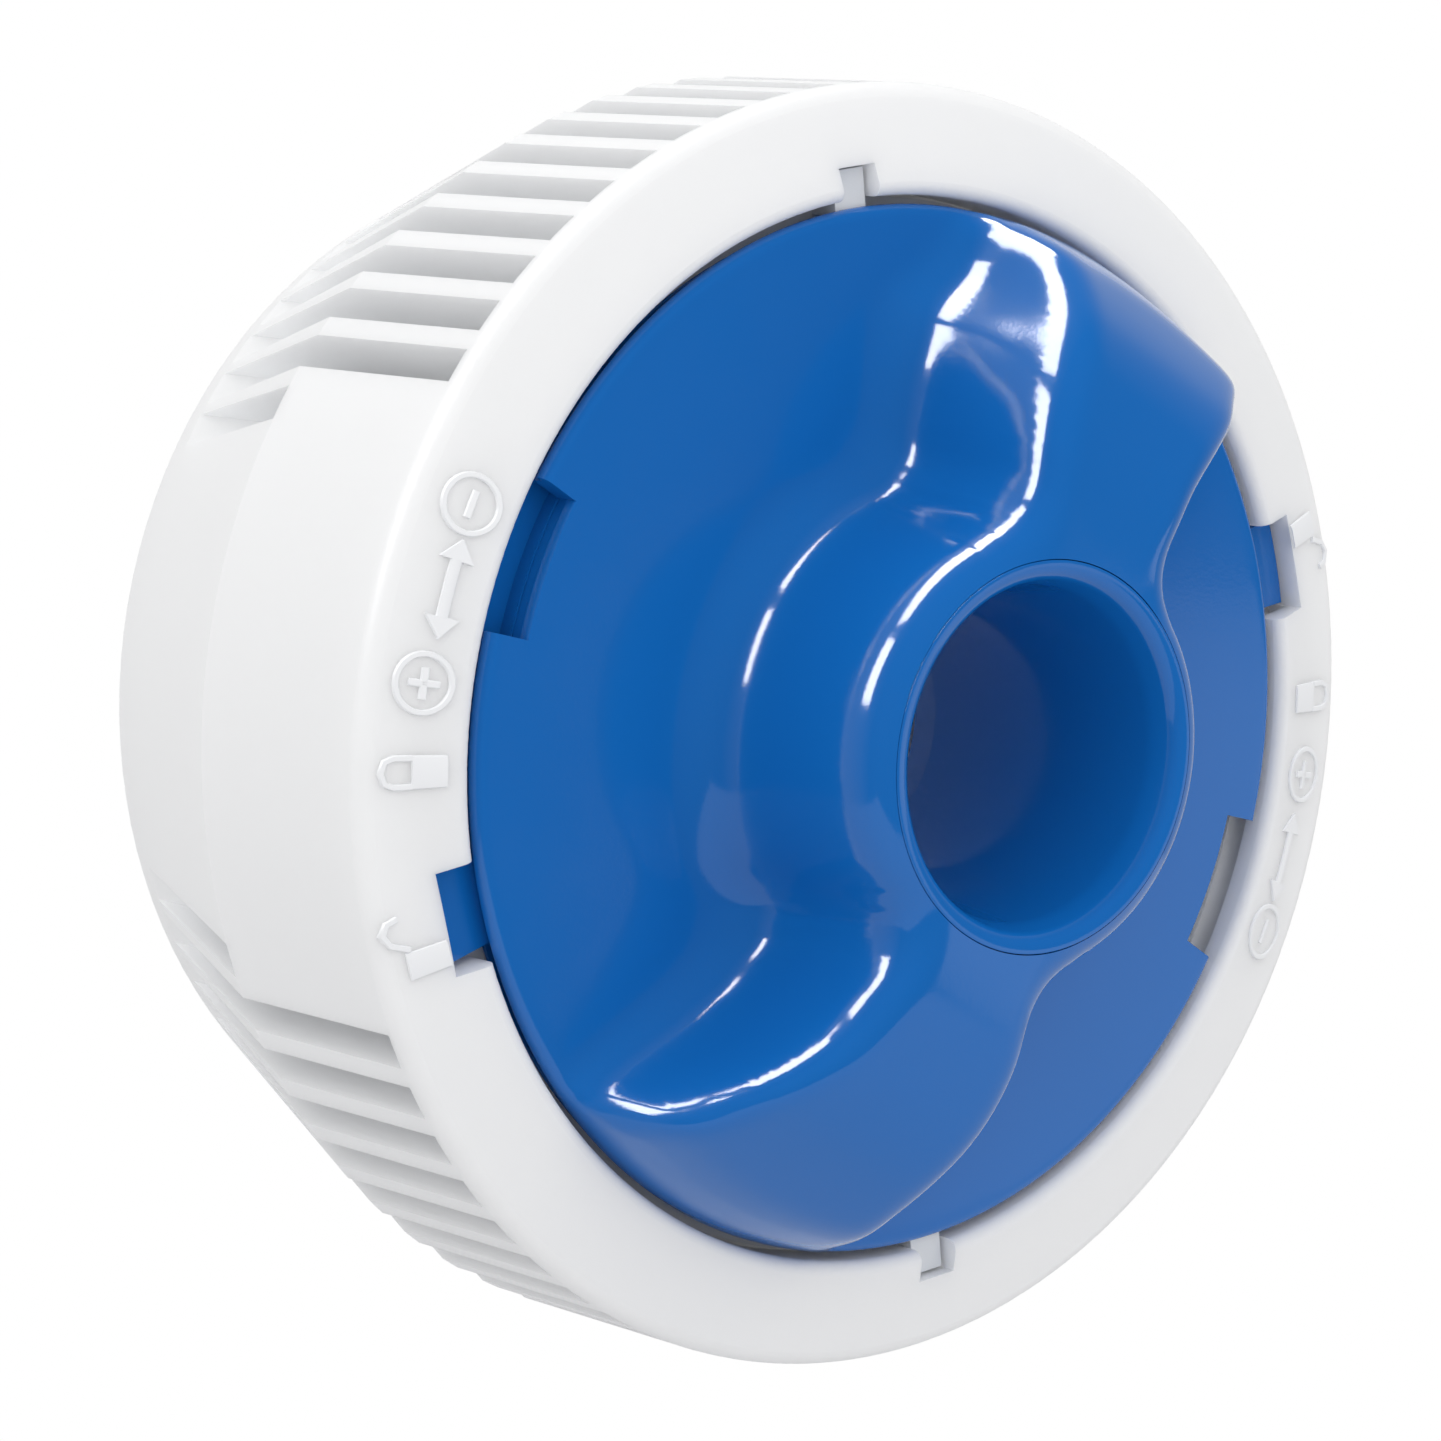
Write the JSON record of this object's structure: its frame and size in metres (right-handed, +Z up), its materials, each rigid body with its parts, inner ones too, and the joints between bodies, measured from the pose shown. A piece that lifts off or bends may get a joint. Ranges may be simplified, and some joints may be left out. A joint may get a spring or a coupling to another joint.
{
  "type": "inlet-mounted pool chlorine dispenser",
  "caption": "Round ribbed drum for a pool's return inlet with a twist-lock lid, winged grip, through nozzle and an inner tablet basket.",
  "frame": {"origin": "middle of the inlet socket's mouth on the rear face", "axes": "+Y along the drum's axis towards the pool wall, so the lid faces -Y; +Z up; +X to the right as the lid is looked at"},
  "size_m": [0.145, 0.0911, 0.145],
  "materials": {
    "white_shell": "satin white moulded plastic",
    "white_basket": "matt white moulded plastic",
    "blue_shell": "glossy blue moulded plastic",
    "black_rubber": "black rubber",
    "steel": "stainless steel"
  },
  "bodies": {
    "drum": {"drum_housing": "white_shell", "rear_plate": "white_shell", "plate_gasket": "black_rubber", "plate_screws": "steel", "inlet_gasket": "black_rubber", "centre_tube": "white_shell", "tube_seal": "black_rubber"},
    "basket": {"tablet_basket": "white_basket"},
    "nozzle": {"outlet_nozzle": "blue_shell"},
    "lid_group": {"lid": "blue_shell", "flow_sleeve": "blue_shell", "skirt_seal": "black_rubber"}
  },
  "joints": [
    {"name": "basket_pull", "type": "slide", "parent": "drum", "child": "basket", "axis": [0, -1, 0], "range_m": [0, 0.055]},
    {"name": "lid_pull", "type": "slide", "parent": "basket", "child": "nozzle", "axis": [0, -1, 0], "range_m": [0, 0.055]},
    {"name": "lid_turn", "type": "hinge", "parent": "nozzle", "child": "lid_group", "pos_m": [0, -0.0636, 0], "axis": [0, 1, 0], "range_deg": [0, 40]}
  ]
}
